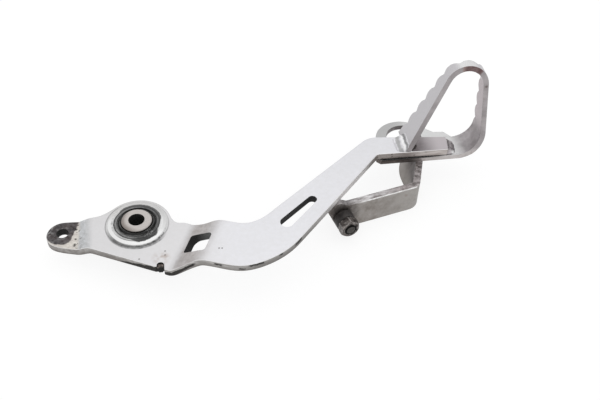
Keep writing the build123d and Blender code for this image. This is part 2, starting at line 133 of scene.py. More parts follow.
class Net:
    """Node material with short calls for the nodes it needs. Places are in millimetres."""

    def __init__(self, name):
        self.material = bpy.data.materials.new(name)
        self.material.use_nodes = True
        self.tree = self.material.node_tree
        self.shader = self.tree.nodes["Principled BSDF"]
        coords = self.node("ShaderNodeTexCoord")
        self.place = self.vector("SCALE", coords.outputs["Object"], scale=1000)
        self.level_place = self.vector("MULTIPLY", self.place, (1, 1, 0))
        self.radius = self.vector("LENGTH", self.level_place)
        self.x, self.y, self.z = self.split(self.place)
        self.nx, self.ny, self.nz = self.split(coords.outputs["Normal"])

    def node(self, kind, **settings):
        made = self.tree.nodes.new(kind)
        for key, value in settings.items():
            setattr(made, key, value)
        return made

    def feed(self, socket, value):
        if isinstance(value, bpy.types.NodeSocket):
            self.tree.links.new(value, socket)
        else:
            socket.default_value = value

    def fill(self, made, **values):
        """Sets or links a node's inputs by their names."""
        for label, value in values.items():
            self.feed(made.inputs[label], value)

    def split(self, vector):
        made = self.node("ShaderNodeSeparateXYZ")
        self.feed(made.inputs[0], vector)
        return made.outputs[0], made.outputs[1], made.outputs[2]

    def vector(self, operation, first, second=None, scale=None):
        made = self.node("ShaderNodeVectorMath", operation=operation)
        self.feed(made.inputs[0], first)
        if second is not None:
            self.feed(made.inputs[1], second)
        if scale is not None:
            self.feed(made.inputs["Scale"], scale)
        return made.outputs["Value" if operation in ("DISTANCE", "DOT_PRODUCT", "LENGTH") else "Vector"]

    def math(self, operation, first, second=0.0):
        made = self.node("ShaderNodeMath", operation=operation)
        self.feed(made.inputs[0], first)
        self.feed(made.inputs[1], second)
        return made.outputs[0]

    def plus(self, first, *others):
        for other in others:
            first = self.math("ADD", first, other)
        return first

    def minus(self, first, second):
        return self.math("SUBTRACT", first, second)

    def times(self, first, *others):
        for other in others:
            first = self.math("MULTIPLY", first, other)
        return first

    def most(self, first, *others):
        for other in others:
            first = self.math("MAXIMUM", first, other)
        return first

    def size_of(self, value):
        return self.math("ABSOLUTE", value)

    def line(self, value, start, end, first, last, smooth=False):
        """Goes from first at start to last at end, and stays there outside them."""
        made = self.node("ShaderNodeMapRange", interpolation_type="SMOOTHSTEP" if smooth else "LINEAR")
        ends = sorted(((start, first), (end, last)))
        self.feed(made.inputs["Value"], value)
        for label, (place, result) in zip(("Min", "Max"), ends):
            self.feed(made.inputs["From " + label], place)
            self.feed(made.inputs["To " + label], result)
        return made.outputs["Result"]

    def ramp(self, value, start, end):
        """Goes smoothly from 0 at start to 1 at end."""
        return self.line(value, start, end, 0, 1, smooth=True)

    def band(self, value, low, high, soft):
        """1 between low and high, with soft ends."""
        above = self.ramp(value, low - soft, low + soft)
        below = self.ramp(value, high + soft, high - soft)
        return self.times(above, below)

    def noise(self, size, detail=3.0, stretch=(1, 1, 1), turn=0.0):
        """Noise from 0 to 1 whose lumps are about size millimetres."""
        shifted = self.node("ShaderNodeMapping", vector_type="TEXTURE")
        lump = [size * share for share in stretch]
        self.fill(shifted, Vector=self.place, Rotation=(0, 0, math.radians(turn)), Scale=lump)
        made = self.node("ShaderNodeTexNoise")
        self.fill(made, Vector=shifted.outputs[0], Scale=1.0, Detail=detail, Roughness=0.6)
        return made.outputs["Fac"]

    def patches(self, size, detail=3.0, stretch=(1, 1, 1), turn=0.0):
        """Noise with its contrast stretched, so that it reaches 0 and 1."""
        return self.line(self.noise(size, detail, stretch, turn), 0.34, 0.66, 0, 1)

    def specks(self, size, radius):
        """Scattered round specks, radius as a share of their spacing."""
        made = self.node("ShaderNodeTexVoronoi")
        self.fill(made, Vector=self.vector("SCALE", self.place, scale=1 / size), Scale=1.0)
        return self.ramp(made.outputs["Distance"], radius, radius * 0.5)

    def wobble(self, size, amount):
        """Place pushed about by noise, for uneven borders."""
        made = self.node("ShaderNodeTexNoise")
        self.fill(made, Vector=self.vector("SCALE", self.place, scale=1 / size), Scale=1.0, Detail=4.0)
        push = self.vector("SUBTRACT", made.outputs["Color"], (0.5, 0.5, 0.5))
        return self.vector("ADD", self.place, self.vector("SCALE", push, scale=2 * amount))

    def towards(self, way):
        """Distance from the pivot along a level direction."""
        return self.vector("DOT_PRODUCT", self.level_place, way)

    def near(self, vector, point, radius, soft):
        """1 within radius of a point."""
        return self.ramp(self.vector("DISTANCE", vector, point), radius + soft, radius - soft)

    def spots(self, vector, points, radius, soft):
        """1 within radius of any of the points."""
        return self.most(*[self.near(vector, point, radius, soft) for point in points])

    def mix(self, share, first, second):
        """Colour between first and second."""
        made = self.node("ShaderNodeMix", data_type="RGBA")
        self.feed(made.inputs[0], share)
        self.feed(made.inputs[6], first)
        self.feed(made.inputs[7], second)
        return made.outputs[2]

    def veil(self, mask, share, first, second):
        """Second laid over first by a share of a mask."""
        return self.mix(self.times(mask, share), first, second)

    def blend(self, share, first, second):
        """Number between first and second."""
        made = self.node("ShaderNodeMix", data_type="FLOAT")
        self.feed(made.inputs[0], share)
        self.feed(made.inputs[2], first)
        self.feed(made.inputs[3], second)
        return made.outputs[0]

    def edges(self, radius):
        """Rounded normal and a mask of the edges within radius."""
        made = self.node("ShaderNodeBevel", samples=6)
        self.fill(made, Radius=radius / 1000)
        true_normal = self.node("ShaderNodeNewGeometry").outputs["Normal"]
        same = self.vector("DOT_PRODUCT", made.outputs[0], true_normal)
        return made.outputs[0], self.ramp(same, 0.99, 0.8)

    def bump(self, height, strength, depth, normal=None):
        made = self.node("ShaderNodeBump")
        self.fill(made, Strength=strength, Distance=depth / 1000, Height=height)
        if normal is not None:
            self.fill(made, Normal=normal)
        return made.outputs[0]

    def finish(self, colour, roughness, metal, normal):
        self.feed(self.shader.inputs["Base Color"], colour)
        self.fill(self.shader, Roughness=roughness, Metallic=metal, Normal=normal)
        return self.material


def hole_walls(net):
    """Masks of the window's and the slot's inner walls."""
    upright = net.ramp(net.size_of(net.nz), 0.72, 0.6)
    window = net.times(net.near(net.level_place, window_middle, window_reach, 0.2), upright)
    length = (slot_front - slot_rear).length
    way = (slot_front - slot_rear).normalized()
    from_rear = net.vector("SUBTRACT", net.level_place, tuple(slot_rear))
    along = net.vector("DOT_PRODUCT", from_rear, tuple(way))
    held = net.math("MINIMUM", net.math("MAXIMUM", along, 0), length)
    foot = net.vector("SCALE", tuple(way), scale=held)
    reach = net.line(held, 0, length, slot_rear_radius, slot_front_radius)
    past = net.minus(net.vector("DISTANCE", from_rear, foot), reach)
    slot = net.times(net.ramp(past, 0.5, 0.2), upright)
    return window, slot


def edge_dirt(net, wall, depth):
    """Mask of the black dirt on the plate's lower edge. Depth is measured down from the local face."""
    ragged = net.plus(depth, net.times(net.minus(net.noise(2.6, 5), 0.5), 2.6))
    rear_limit = net.line(net.x, -9, 7, 3.1, 0.4)
    rear = net.times(net.ramp(net.minus(ragged, rear_limit), -0.2, 0.4), net.band(net.x, -8, 12, 1.5))
    middle = net.line(net.x, 14, 28, 3.5, 2.1)
    half = net.line(net.x, 13, 28, 2.0, 0.9)
    off_middle = net.size_of(net.minus(ragged, middle))
    front = net.times(net.ramp(net.minus(half, off_middle), -0.25, 0.25), net.band(net.x, 12.4, 28.5, 1.0))
    lower = net.ramp(net.y, -17, -20)
    uneven_x, _, _ = net.split(net.wobble(2.6, 1.6))
    uneven_depth = net.plus(depth, net.times(net.minus(net.noise(2.0, 3), 0.5), 2.4))
    dashes = (
        (38, 42, 1.7, 0.55),
        (50, 53.5, 2.8, 0.5),
        (55, 63, 0.9, 0.65),
        (71, 72.5, 0.9, 0.6),
        (80, 84, 1.6, 1.0),
    )
    dashed = 0.0
    for start, end, deep, half_height in dashes:
        inside = net.ramp(net.size_of(net.minus(uneven_depth, deep)), half_height + 0.3, half_height - 0.3)
        dashed = net.most(dashed, net.times(inside, net.band(uneven_x, start, end, 0.5), lower, 0.95))
    notch = net.near(net.level_place, tuple(notch_middle), 3.0, 0.3)
    return net.times(net.most(net.times(net.most(rear, front), lower), dashed, notch), wall)


def lug_coat(net, colour, face, wall):
    """Colours the lug: painted shade and glints at the bend, black round its hole, beige where that has worn
    off, dark flecks at the bend and painted shade in the hole's bore.
    """
    rough = net.wobble(2.2, 0.8)
    rough_x, rough_y, _ = net.split(rough)
    rough_level = net.vector("MULTIPLY", rough, (1, 1, 0))
    mottle = net.patches(2.2, 5)
    # Painted shade at the bend, with painted glints.
    bend = net.times(net.ramp(net.plus(rough_x, net.times(rough_y, 0.1)), -22.5, -28.4), face)
    colour = net.mix(bend, colour, net.mix(mottle, grey(178, -1), grey(202, -2)))
    glints = net.times(net.band(rough_x, -31.0, -26.5, 0.8), net.ramp(net.noise(1.4, 4), 0.54, 0.62), face)
    colour = net.veil(glints, 0.4, colour, tone(222, 223, 229))
    beige = net.times(net.ramp(rough_x, -29.4, -31.4), face)
    colour = net.mix(beige, colour, net.mix(net.patches(2.5, 4), tone(190, 184, 179), tone(217, 213, 206)))
    flecks = net.times(net.band(rough_x, -31.8, -28.8, 0.5), net.ramp(net.noise(1.7, 2), 0.6, 0.68), face)
    dots = net.spots(rough, at_height(lug_flecks, lug_face_z), 0.65, 0.35)
    flecks = net.most(flecks, net.times(dots, face))
    colour = net.veil(flecks, 0.85, colour, grey(58, 3))
    bend_line = net.minus(rough_x, net.times(rough_y, 0.319))
    round_hole = net.near(rough_level, lug_patch, 7.9, 0.35)
    coated = net.most(round_hole, net.ramp(rough_y, 0.6, 1.8))
    black = net.times(net.ramp(bend_line, -32.9, -33.5), coated, face)
    coat = net.mix(mottle, tone(32, 30, 33), tone(108, 105, 107))
    coat = net.veil(net.patches(4.0, 4), 0.35, coat, tone(96, 82, 78))
    colour = net.mix(black, colour, coat)
    worn = net.times(net.near(rough_level, lug_hole, 4.4, 0.6), face, net.ramp(mottle, 0.5, 0.8))
    colour = net.veil(worn, 0.4, colour, grey(146))
    chipped = net.times(black, net.ramp(net.noise(1.3, 3), 0.53, 0.6), net.ramp(net.x, -42, -45))
    colour = net.veil(chipped, 0.6, colour, grey(170))
    # Painted shade in the hole's bore.
    bore = net.times(net.near(net.level_place, lug_hole, 3.6, 0.2), wall)
    return net.mix(bore, colour, grey(30)), net.most(black, bore)


def plated_face(net, face, cloud, grain):
    """Colour of the plated face, brightest on the arm and dull on the far side of the pivot."""
    near_pivot = net.mix(cloud, tone(205, 204, 205), tone(220, 219, 221))
    on_arm = net.mix(cloud, tone(213, 213, 217), tone(227, 227, 231))
    colour = net.mix(net.ramp(net.x, 24, 52), near_pivot, on_arm)
    colour = net.veil(net.patches(2.4, 4), 0.22, colour, grey(200, 1))
    colour = net.veil(grain, 0.15, colour, grey(204))
    far_pad = net.times(net.ramp(net.y, 7, 13), net.ramp(net.radius, 23, 18), face)
    return net.veil(far_pad, 0.75, colour, grey(196, 1))


def shade_set_off(net, colour, face, ahead, across):
    """Painted shade on the set-off's slope towards the arm, mottled with dirt. Also gives the mask of its
    slope.
    """
    rough_ahead = net.plus(ahead, net.times(net.minus(net.noise(4, 4), 0.5), 4.5))
    slope = net.times(net.ramp(rough_ahead, 27, 32.5), net.ramp(rough_ahead, 48, 36))
    rise = net.times(slope, face)
    middle = net.band(across, -12, -6, 3)
    # Painted shade on the slope, mottled with dirt.
    dull = net.mix(net.patches(3, 5), tone(164, 159, 157), tone(188, 184, 183))
    dull = net.veil(net.ramp(net.noise(2.5, 5), 0.56, 0.66), 0.35, dull, tone(140, 124, 115))
    return net.mix(net.times(rise, net.blend(middle, 0.95, 0.6)), colour, dull), slope


def shade_in_loop(net, colour, face, cloud):
    """Painted shade on the arm's face inside the toe loop, darkest by its leg, with a painted black shadow in
    the gap under the foot of that leg.
    """
    in_loop = net.times(net.ramp(net.x, 155.5, 156.5), face)
    colour = net.mix(in_loop, colour, net.mix(cloud, tone(178, 172, 174), tone(190, 184, 187)))
    leg_shade = net.times(in_loop, net.ramp(net.x, 174, 158))
    colour = net.mix(leg_shade, colour, net.mix(net.patches(4, 3), tone(104, 98, 99), tone(126, 120, 122)))
    gap = net.times(net.spots(net.wobble(2.0, 0.5), at_height(foot_gap, arm_face_z), 1.4, 0.5), face)
    return net.mix(gap, colour, tone(52, 44, 41)), gap


def collar_dark(net, colour, face):
    """Darkens the plate in a ring round the pivot's collar, most of it on the lower side."""
    lean = net.towards(collar_dark_way)
    ring_noise = net.blend(net.patches(2.0, 4), 0.5, 1.0)
    collar_radius = net.vector("DISTANCE", net.level_place, collar_dark_middle)
    low_ring = net.times(net.ramp(collar_radius, 17.3, 16.6), net.ramp(lean, 5.0, 13.5), ring_noise)
    side_ring = net.times(net.ramp(net.radius, 17.0, 16.7), net.ramp(net.x, -5, -12), 0.5)
    by_right = net.times(net.ramp(net.x, 6, 13), net.ramp(net.y, 4, -2))
    right_ring = net.times(net.ramp(net.radius, 17.0, 16.7), by_right, 0.3)
    return net.mix(net.times(net.most(low_ring, side_ring, right_ring), face), colour, grey(112))


def sheared_colour(net, depth, streaks, front):
    """Colour of the sheared edges: lighter at the top, clean on the arm and with weld stains in front."""
    colour = net.mix(net.line(depth, 0.8, 4.0, 0, 1), grey(202, 2), grey(138, 3))
    colour = net.veil(net.band(net.x, 56, 92, 6), 0.5, colour, grey(112, 2))
    colour = net.veil(streaks, 0.6, colour, grey(126, 3))
    colour = net.veil(net.patches(1.8, 4), 0.2, colour, tone(122, 116, 115))
    rear_mottle = net.times(net.patches(2.4, 4), net.ramp(net.x, 8, -6), 0.5)
    colour = net.mix(rear_mottle, colour, tone(114, 106, 103))
    clean = net.times(net.ramp(net.x, 92, 101), net.ramp(net.y, 28, 20))
    colour = net.mix(clean, colour, net.mix(net.patches(1.8, 4), tone(212, 208, 208), grey(230, 1)))
    dark_mottle = net.times(net.ramp(net.noise(2.2, 4), 0.56, 0.64), net.ramp(net.x, 172, 150))
    front_colour = net.mix(streaks, tone(166, 158, 154), tone(206, 200, 197))
    front_colour = net.veil(dark_mottle, 0.8, front_colour, tone(76, 67, 63))
    return net.mix(front, colour, front_colour)


def face_marks(net, colour, face):
    """Small pits on the face and a brown stain by the notch. Also gives the mask of the pits."""
    places = at_height(plate_pits, plate_face_z) + at_height(arm_pits, arm_face_z)
    pits = net.times(net.specks(17, 0.028), face)
    pits = net.most(pits, net.spots(net.place, places, 0.4, 0.2))
    stain_place = net.near(net.wobble(3.0, 1.2), stain_middle, 3.6, 2.4)
    stains = net.times(stain_place, net.ramp(net.noise(3.2, 1), 0.35, 0.7), face)
    colour = net.veil(stains, 0.6, colour, tone(162, 145, 134))
    return net.veil(pits, 0.8, colour, grey(70, 4)), pits


def lever_material():
    """Satin plated sheet: bright faces, dull sheared edges, dirt in the low edge and a black worn lug."""
    net = Net("lever_plate")
    cloud = net.noise(26, 4)
    grain = net.noise(0.9, 3)
    crumbs = net.noise(1.6, 5)
    scratches = net.noise(1.2, 2, stretch=(14, 1, 1), turn=35)
    streaks = net.patches(2.4, 4, stretch=(5, 5, 0.6))
    face = net.ramp(net.nz, 0.6, 0.8)
    wall = net.ramp(net.size_of(net.nz), 0.6, 0.3)
    front = net.ramp(net.y, 24, 30)
    turn = math.radians(arm_turn)
    ahead = net.towards((math.cos(turn), -math.sin(turn), 0))
    across = net.towards((math.sin(turn), math.cos(turn), 0))
    level = net.plus(
        net.line(ahead, arm_bend_start, arm_bend_end, plate_face_z, arm_face_z),
        net.line(net.x, lug_bend_start, lug_bend_end, lug_face_z - plate_face_z, 0),
    )
    depth = net.minus(level, net.z)

    colour = plated_face(net, face, cloud, grain)
    colour, slope = shade_set_off(net, colour, face, ahead, across)
    colour, gap = shade_in_loop(net, colour, face, cloud)
    colour = collar_dark(net, colour, face)
    colour = net.mix(wall, colour, sheared_colour(net, depth, streaks, front))

    # Painted highlight along the upper rim.
    rim = net.times(net.ramp(net.nz, 0.25, 0.5), net.ramp(net.nz, 0.86, 0.7), net.minus(1.0, slope))
    colour = net.mix(rim, colour, grey(238))

    # Dirt on the edges and in the seam under the toe loop's root, painted shade on the walls in the holes.
    seam = net.times(net.ramp(net.z, 21.1, 20.4), net.ramp(net.x, 176, 158), front, wall)
    dirt = net.most(edge_dirt(net, wall, depth), seam)
    colour = net.mix(dirt, colour, net.mix(crumbs, grey(26, 1), grey(64, 3)))
    window, slot = hole_walls(net)
    window_wall_shade = net.mix(net.ramp(ahead, 33, 43), grey(38), net.mix(crumbs, grey(108), grey(138)))
    # Painted shade on the window's and the slot's walls.
    colour = net.mix(window, colour, net.mix(net.ramp(net.nz, 0.15, 0.4), window_wall_shade, grey(30)))
    colour = net.mix(slot, colour, net.mix(crumbs, grey(34), grey(52)))
    colour, black = lug_coat(net, colour, face, wall)
    colour, pits = face_marks(net, colour, face)

    # Roughness and metal follow the dirt, the lug's black coat and the painted shade in the holes and under
    # the toe loop's leg.
    grime_and_shade = net.most(dirt, window, slot, black, gap)
    roughness = net.blend(grime_and_shade, net.blend(wall, net.blend(cloud, 0.34, 0.46), 0.55), 0.72)
    metal = net.blend(grime_and_shade, 1.0, 0.2)
    height = net.plus(net.times(grain, 0.5), net.times(scratches, 0.35), net.times(streaks, wall, 2.0))
    height = net.plus(net.minus(height, net.times(pits, 3.0)), net.times(net.most(black, dirt), crumbs, 2.0))
    return net.finish(colour, roughness, metal, net.bump(height, 0.5, 0.06))


def toe_inside(net, colour, cloud, corner):
    """Colours the front leg's pinkish inner side and the root, dark and mottled in their corner."""
    inner = net.times(net.ramp(net.nx, -0.4, -0.9), net.ramp(net.x, 180, 188))
    colour = net.mix(inner, colour, net.mix(cloud, tone(178, 170, 173), tone(196, 188, 190)))
    low_root = net.times(net.ramp(net.nz, 0.8, 0.95), net.ramp(net.z, 20.8, 20.3))
    ledge = net.mix(cloud, grey(202), grey(214))
    root_colour = net.mix(net.ramp(net.x, 150, 168), net.mix(cloud, grey(172), grey(184)), ledge)
    colour = net.mix(low_root, colour, root_colour)
    # Darker and mottled in the corner between the front leg and the root.
    dark_mottle = net.mix(net.patches(6.5, 3), tone(130, 125, 126), tone(170, 165, 167))
    colour = net.veil(corner, 0.9, colour, dark_mottle)
    step = net.times(low_root, net.ramp(net.y, 31.7, 31.3), net.ramp(net.x, 178, 172))
    return net.mix(step, colour, grey(40, 2))


def toe_rims(net, mottle, streaks):
    """Colour of the strip's rims, dark and brown at the root, with a few brown dots."""
    colour = net.mix(streaks, tone(148, 143, 144), tone(172, 167, 168))
    leaning = net.times(net.ramp(net.z, 26, 32), net.ramp(net.z, 48, 38), net.ramp(net.x, 182, 174))
    colour = net.veil(leaning, 0.5, colour, tone(122, 117, 118))
    low_rim = net.mix(streaks, tone(172, 167, 165), tone(196, 191, 190))
    colour = net.mix(net.ramp(net.z, 24, 20), colour, low_rim)
    root = net.times(net.ramp(net.x, 178, 142), net.ramp(net.z, 21, 20))
    colour = net.mix(root, colour, net.mix(mottle, tone(88, 80, 77), tone(126, 117, 113)))
    seam = net.times(net.ramp(net.z, 19.2, 19.8), net.ramp(net.z, 20.6, 20.1), net.ramp(net.x, 178, 164))
    colour = net.mix(seam, colour, grey(40, 2))
    dots = net.spots(net.wobble(2.0, 0.6), rim_dots, 0.9, 0.4)
    return net.veil(dots, 0.7, colour, tone(88, 76, 72))


def toe_material():
    """Plated strip, duller than the lever, with a brown worn patch at the top of its near rim."""
    net = Net("toe_loop")
    rounded, edge = net.edges(0.4)
    cloud = net.noise(14, 4)
    grain = net.noise(0.8, 3)
    mottle = net.patches(3.0, 5)
    drawn = net.noise(1.0, 3, stretch=(1, 9, 1))
    streaks = net.patches(2.6, 4, stretch=(3, 1, 3))
    corner = net.times(net.ramp(net.z, 42, 28), net.ramp(net.x, 181, 190))
    rim = net.ramp(net.size_of(net.ny), 0.6, 0.85)
    colour = net.mix(cloud, tone(192, 190, 193), tone(205, 203, 206))
    # Painted light: faces that look up are lighter.
    colour = net.mix(net.ramp(net.nz, 0.85, 0.98), colour, net.mix(cloud, grey(210), grey(224)))
    colour = net.veil(grain, 0.15, colour, grey(172, 1))
    colour = toe_inside(net, colour, cloud, corner)
    colour = net.mix(rim, colour, toe_rims(net, mottle, streaks))
    rear_end = net.times(net.ramp(net.x, 139.5, 138.2), net.ramp(net.z, 20.8, 20.3))
    colour = net.mix(rear_end, colour, net.mix(mottle, tone(80, 72, 69), tone(108, 100, 97)))
    rust = net.times(net.ramp(net.noise(5, 5), 0.62, 0.72), rim)
    colour = net.veil(rust, 0.4, colour, tone(124, 104, 98))
    # Painted highlight on the edges.
    colour = net.veil(edge, 0.25, colour, grey(222))

    # Brown patch where the plating has gone.
    uneven = net.wobble(2.6, 1.0)
    patch = net.times(net.near(uneven, worn_patch_middle, 6.2, 0.7), net.ramp(net.ny, -0.5, -0.8))
    brown = net.mix(mottle, tone(98, 78, 78), tone(130, 111, 110))
    brown = net.mix(net.ramp(net.x, 183, 180), brown, tone(152, 134, 131))
    colour = net.veil(patch, 0.95, colour, brown)

    # Painted shade in the eye's bore.
    bore = net.times(
        net.near(net.level_place, eye_middle, eye_reach, 0.2),
        net.ramp(net.nz, 0.6, 0.3),
        net.ramp(net.z, 20.8, 20.3),
    )
    colour = net.mix(bore, colour, net.mix(mottle, tone(104, 99, 100), tone(136, 131, 132)))

    roughness = net.blend(cloud, 0.36, 0.5)
    height = net.plus(net.times(grain, 0.6), net.times(drawn, 0.5), net.times(streaks, rim, 1.4))
    height = net.plus(height, net.times(mottle, corner, 2.0))
    return net.finish(colour, roughness, 1.0, net.bump(height, 0.5, 0.06, rounded))


def seal_land(net, colour, mottle, land):
    """Mottles the boss's flat end round the seal, and scores it on the lower side."""
    lower_left = net.ramp(net.plus(net.times(net.x, 0.6), net.y), 4, -8)
    mottled = net.mix(mottle, grey(164), grey(216))
    colour = net.mix(net.times(land, net.blend(lower_left, 0.4, 0.95)), colour, mottled)
    lower_side = net.ramp(net.towards((-0.42, -0.908, 0)), 11, 13)
    scored = net.times(net.band(net.radius, 12.7, 13.5, 0.2), lower_side)
    return net.veil(scored, 0.8, colour, grey(138))


def collar_grease(net, colour, mottle, outside, lower_right):
    """Grease from the seal, on the far side and on the lower right. Also gives its mask."""
    far_right = net.ramp(net.towards((0.35, 0.94, 0)), 3, 8)
    spread = net.plus(12.0, net.times(far_right, 0.85), net.times(lower_right, 1.8), net.times(mottle, 0.4))
    grease = net.times(net.ramp(net.minus(net.radius, spread), 0.25, -0.25), outside)
    black = net.mix(lower_right, grey(88), net.mix(mottle, grey(34), grey(66)))
    return net.mix(grease, colour, black), grease


def collar_side(net, colour, mottle, steep, lower, lower_right):
    """Colours the collar's steep side, darker towards its foot on the lower side, and black flecks along its
    upper edge.
    """
    collar_radius = net.vector("DISTANCE", net.level_place, collar_dark_middle)
    darker_below = net.times(lower, net.ramp(collar_radius, 14.6, 15.3))
    steep_colour = net.mix(lower, grey(208), grey(238))
    steep_colour = net.mix(darker_below, steep_colour, net.mix(mottle, grey(104), grey(140)))
    colour = net.mix(steep, colour, steep_colour)
    flecked = net.ramp(net.noise(2.0, 4), 0.5, 0.58)
    marks = net.times(net.band(collar_radius, 14.9, 15.5, 0.2), lower_right, flecked)
    return net.veil(marks, 0.8, colour, grey(70))


def boss_material():
    """Turned steel with fine rings, mottled round the seal and dark on the lower side of its collar."""
    net = Net("pivot_boss")
    rounded, edge = net.edges(0.25)
    cloud = net.noise(9, 4)
    mottle = net.patches(1.8, 4)
    turned = net.math("SINE", net.times(net.radius, 24.0))
    outside = net.ramp(net.z, 16.3, 16.6)
    land = net.times(net.ramp(net.nz, 0.96, 0.99), net.ramp(net.z, 17.6, 17.9))
    far = net.ramp(net.y, 1, 9)
    colour = net.mix(far, net.mix(cloud, grey(220), grey(236)), net.mix(cloud, grey(198, 1), grey(208, 1)))
    right = net.times(net.ramp(net.x, 6, 12), net.ramp(net.y, -10, -5), net.ramp(net.radius, 13.4, 13.8))
    colour = net.veil(right, 0.6, colour, grey(192))
    colour = seal_land(net, colour, mottle, land)
    lower_right = net.ramp(net.towards((0.4, -0.916, 0)), 9, 13.5)
    colour, grease = collar_grease(net, colour, mottle, outside, lower_right)
    steep = net.times(net.ramp(net.nz, 0.9, 0.86), outside, net.ramp(net.radius, 15.0, 15.3))
    lean = net.vector("DOT_PRODUCT", net.wobble(3.0, 1.6), collar_dark_way)
    lower = net.ramp(lean, 2.5, 13.0)
    colour = collar_side(net, colour, mottle, steep, lower, lower_right)
    inner_side = net.ramp(net.z, 13, 11)
    colour = net.mix(inner_side, colour, net.mix(cloud, grey(140, 3), grey(176, 2)))
    seat = net.times(net.ramp(net.radius, 12.1, 11.9), net.ramp(net.z, 14, 15))
    colour = net.mix(seat, colour, grey(60))
    # Painted highlight on the edges, kept off the steep side, the grease and the far side.
    bright = net.times(edge, net.minus(1.0, steep), net.minus(1.0, grease), net.minus(1.0, far), 0.35)
    colour = net.mix(bright, colour, grey(238))

    height = net.plus(net.times(turned, 0.25), net.times(mottle, land, 0.6))
    roughness = net.blend(lower, net.blend(cloud, 0.28, 0.4), 0.45)
    metal = net.blend(grease, 1.0, 0.2)
    return net.finish(colour, roughness, metal, net.bump(height, 0.4, 0.04, rounded))


def sleeve_material():
    """Hard sleeve: worn ground end, painted shade in its bore and on its side below the end."""
    net = Net("pivot_sleeve")
    rounded, _ = net.edges(0.3)
    cloud = net.noise(5, 4)
    scuffs = net.noise(0.7, 3, stretch=(5, 1, 1), turn=20)
    colour = net.mix(cloud, tone(186, 181, 178), tone(204, 199, 196))
    colour = net.veil(scuffs, 0.3, colour, tone(142, 135, 130))
    left = net.times(net.ramp(net.plus(net.x, net.times(net.y, 0.3)), 0, -8), net.ramp(net.radius, 5.0, 7.2))
    colour = net.veil(left, 0.85, colour, tone(132, 124, 119))
    # Painted shade in the bore.
    bore = net.times(net.ramp(net.radius, 4.5, 4.3), net.ramp(net.size_of(net.nz), 0.6, 0.3))
    colour = net.mix(bore, colour, net.mix(cloud, grey(18), grey(38, 1)))
    # Painted shade on the side below the end, deeper further down.
    side = net.times(net.ramp(net.radius, 7.7, 7.9), net.ramp(net.z, 20.0, 18.6))
    colour = net.veil(side, 0.85, colour, tone(62, 56, 54))
    roughness = net.blend(bore, net.blend(cloud, 0.34, 0.48), 0.7)
    metal = net.blend(bore, 1.0, 0.2)
    return net.finish(colour, roughness, metal, net.bump(net.plus(scuffs, cloud), 0.35, 0.05, rounded))


def seal_material():
    """Rubber lip seal: grey rim, painted shade in its groove, a painted shine on the lip and grease on its
    lower right.
    """
    net = Net("seal_rubber")
    rounded, edge = net.edges(0.3)
    dust = net.patches(1.8, 5)
    grain = net.noise(0.5, 3)
    ring_radius = net.vector("DISTANCE", net.level_place, seal_ring_middle)
    lower_right = net.ramp(net.towards((0.5, -0.866, 0)), 6.5, 11.5)
    right = net.ramp(net.plus(net.x, net.times(net.y, 0.5)), 2, 10)
    rim = net.mix(right, net.mix(dust, grey(104), grey(152)), net.mix(dust, grey(72), grey(112)))
    rim = net.mix(lower_right, rim, net.mix(dust, grey(36), grey(74)))
    lip = net.mix(dust, grey(24), grey(52, 1))
    colour = net.mix(net.ramp(ring_radius, 9.85, 10.15), lip, rim)
    # Painted shade in the groove.
    colour = net.mix(net.band(ring_radius, 9.35, 9.9, 0.15), colour, grey(16))
    # Painted highlights: a shine on the lip and a thin line on the rim's inner edge.
    shine = net.times(net.band(ring_radius, 8.9, 9.2, 0.15), net.blend(dust, 0.4, 0.9))
    colour = net.mix(shine, colour, grey(122))
    rim_highlight = net.times(net.band(ring_radius, 10.6, 10.85, 0.12), net.blend(dust, 0.2, 0.7))
    colour = net.mix(rim_highlight, colour, grey(140))
    colour = net.veil(net.band(ring_radius, 10.32, 10.48, 0.1), 0.7, colour, grey(40))
    colour = net.veil(net.ramp(net.radius, 11.45, 11.7), 0.9, colour, grey(24))
    greasy = net.near(net.wobble(2.0, 1.0), seal_grease_middle, 4.6, 1.5)
    grease = net.times(greasy, net.ramp(net.noise(0.8, 4), 0.53, 0.62))
    colour = net.veil(grease, 0.75, colour, grey(186))
    height = net.plus(net.times(grain, 0.8), net.times(net.math("SINE", net.times(net.radius, 9.0)), 0.5))
    height = net.plus(height, net.times(edge, 0.2), net.times(grease, 2.0))
    roughness = net.blend(dust, 0.45, 0.7)
    return net.finish(colour, roughness, 0.0, net.bump(height, 0.5, 0.08, rounded))


def buffer_material():
    """Black rubber of the stop, dusty on its high spots."""
    net = Net("buffer_rubber")
    rounded, edge = net.edges(0.35)
    dust = net.noise(2.2, 5)
    grain = net.noise(0.5, 3)
    colour = net.mix(net.ramp(dust, 0.35, 0.75), tone(34, 30, 29), tone(62, 57, 55))
    colour = net.veil(edge, 0.35, colour, grey(88, 2))
    return net.finish(colour, net.blend(dust, 0.5, 0.72), 0.0, net.bump(grain, 0.4, 0.08, rounded))


def bracket_top(net, sheared):
    """Colour of the bracket's sheared upper edge, rough and light, stained by the weld at the front."""
    rear_top = net.mix(sheared, tone(140, 134, 133), tone(222, 220, 221))
    front_top = net.mix(net.patches(2.2, 4), tone(104, 94, 93), tone(176, 167, 167))
    rear_top = net.veil(net.ramp(net.x, 132, 148), 0.85, rear_top, front_top)
    leg_top = net.mix(net.patches(2.8, 4), tone(112, 106, 105), tone(192, 186, 186))
    dark = net.times(net.ramp(net.noise(2.4, 4), 0.55, 0.62), net.ramp(net.y, 14, 26))
    leg_top = net.veil(dark, 0.8, leg_top, tone(70, 63, 61))
    return net.mix(net.ramp(net.x, 146, 154), rear_top, leg_top)


